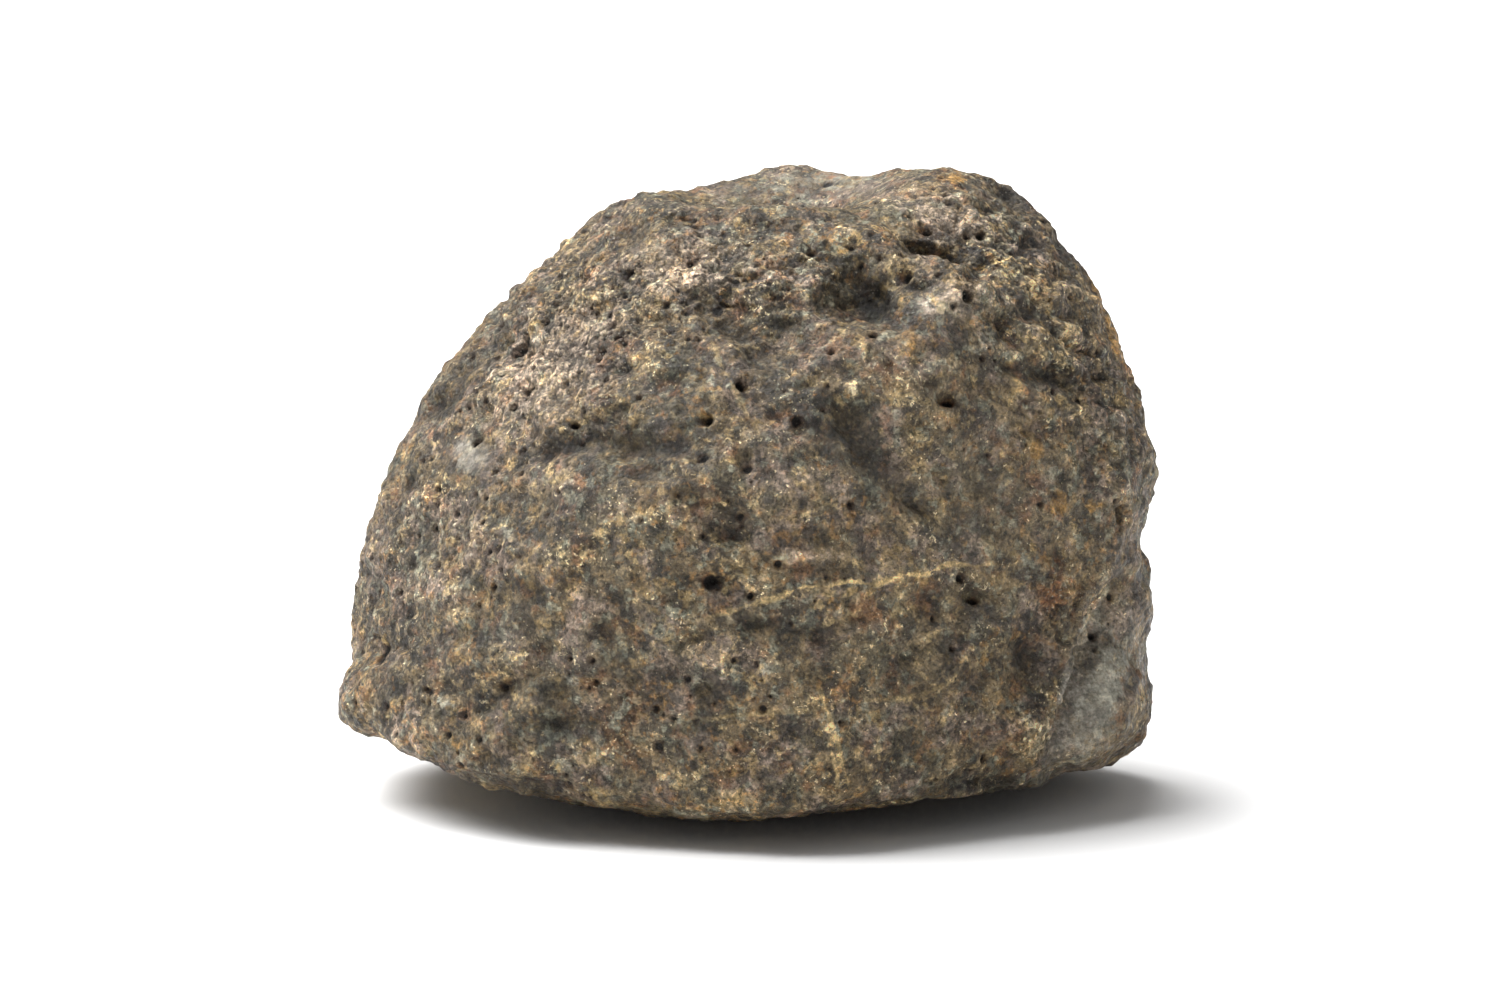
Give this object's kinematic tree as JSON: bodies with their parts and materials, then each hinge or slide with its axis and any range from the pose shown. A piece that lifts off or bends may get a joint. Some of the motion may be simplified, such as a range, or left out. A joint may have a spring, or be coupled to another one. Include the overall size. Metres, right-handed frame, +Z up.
{
  "type": "chondrite meteorite",
  "caption": "Brown-grey weathered stony meteorite, a worn polyhedron with a scooped top, pits, ledges and a thin tan vein, resting on a small flat spot.",
  "frame": {"origin": "middle of the bounding box's bottom, which lies on the small flat spot that the stone rests on", "axes": "+X to the right as the stone is seen from its front, along its longest side; -Y out of the broad front bulge; +Z up"},
  "size_m": [0.0822, 0.0642, 0.0625],
  "materials": {
    "weathered_stone": "matt, fine-grained, pitted, mottled brown and grey with rust, ochre and tan flecks"
  },
  "bodies": {
    "root": {"meteorite": "weathered_stone"}
  },
  "joints": []
}
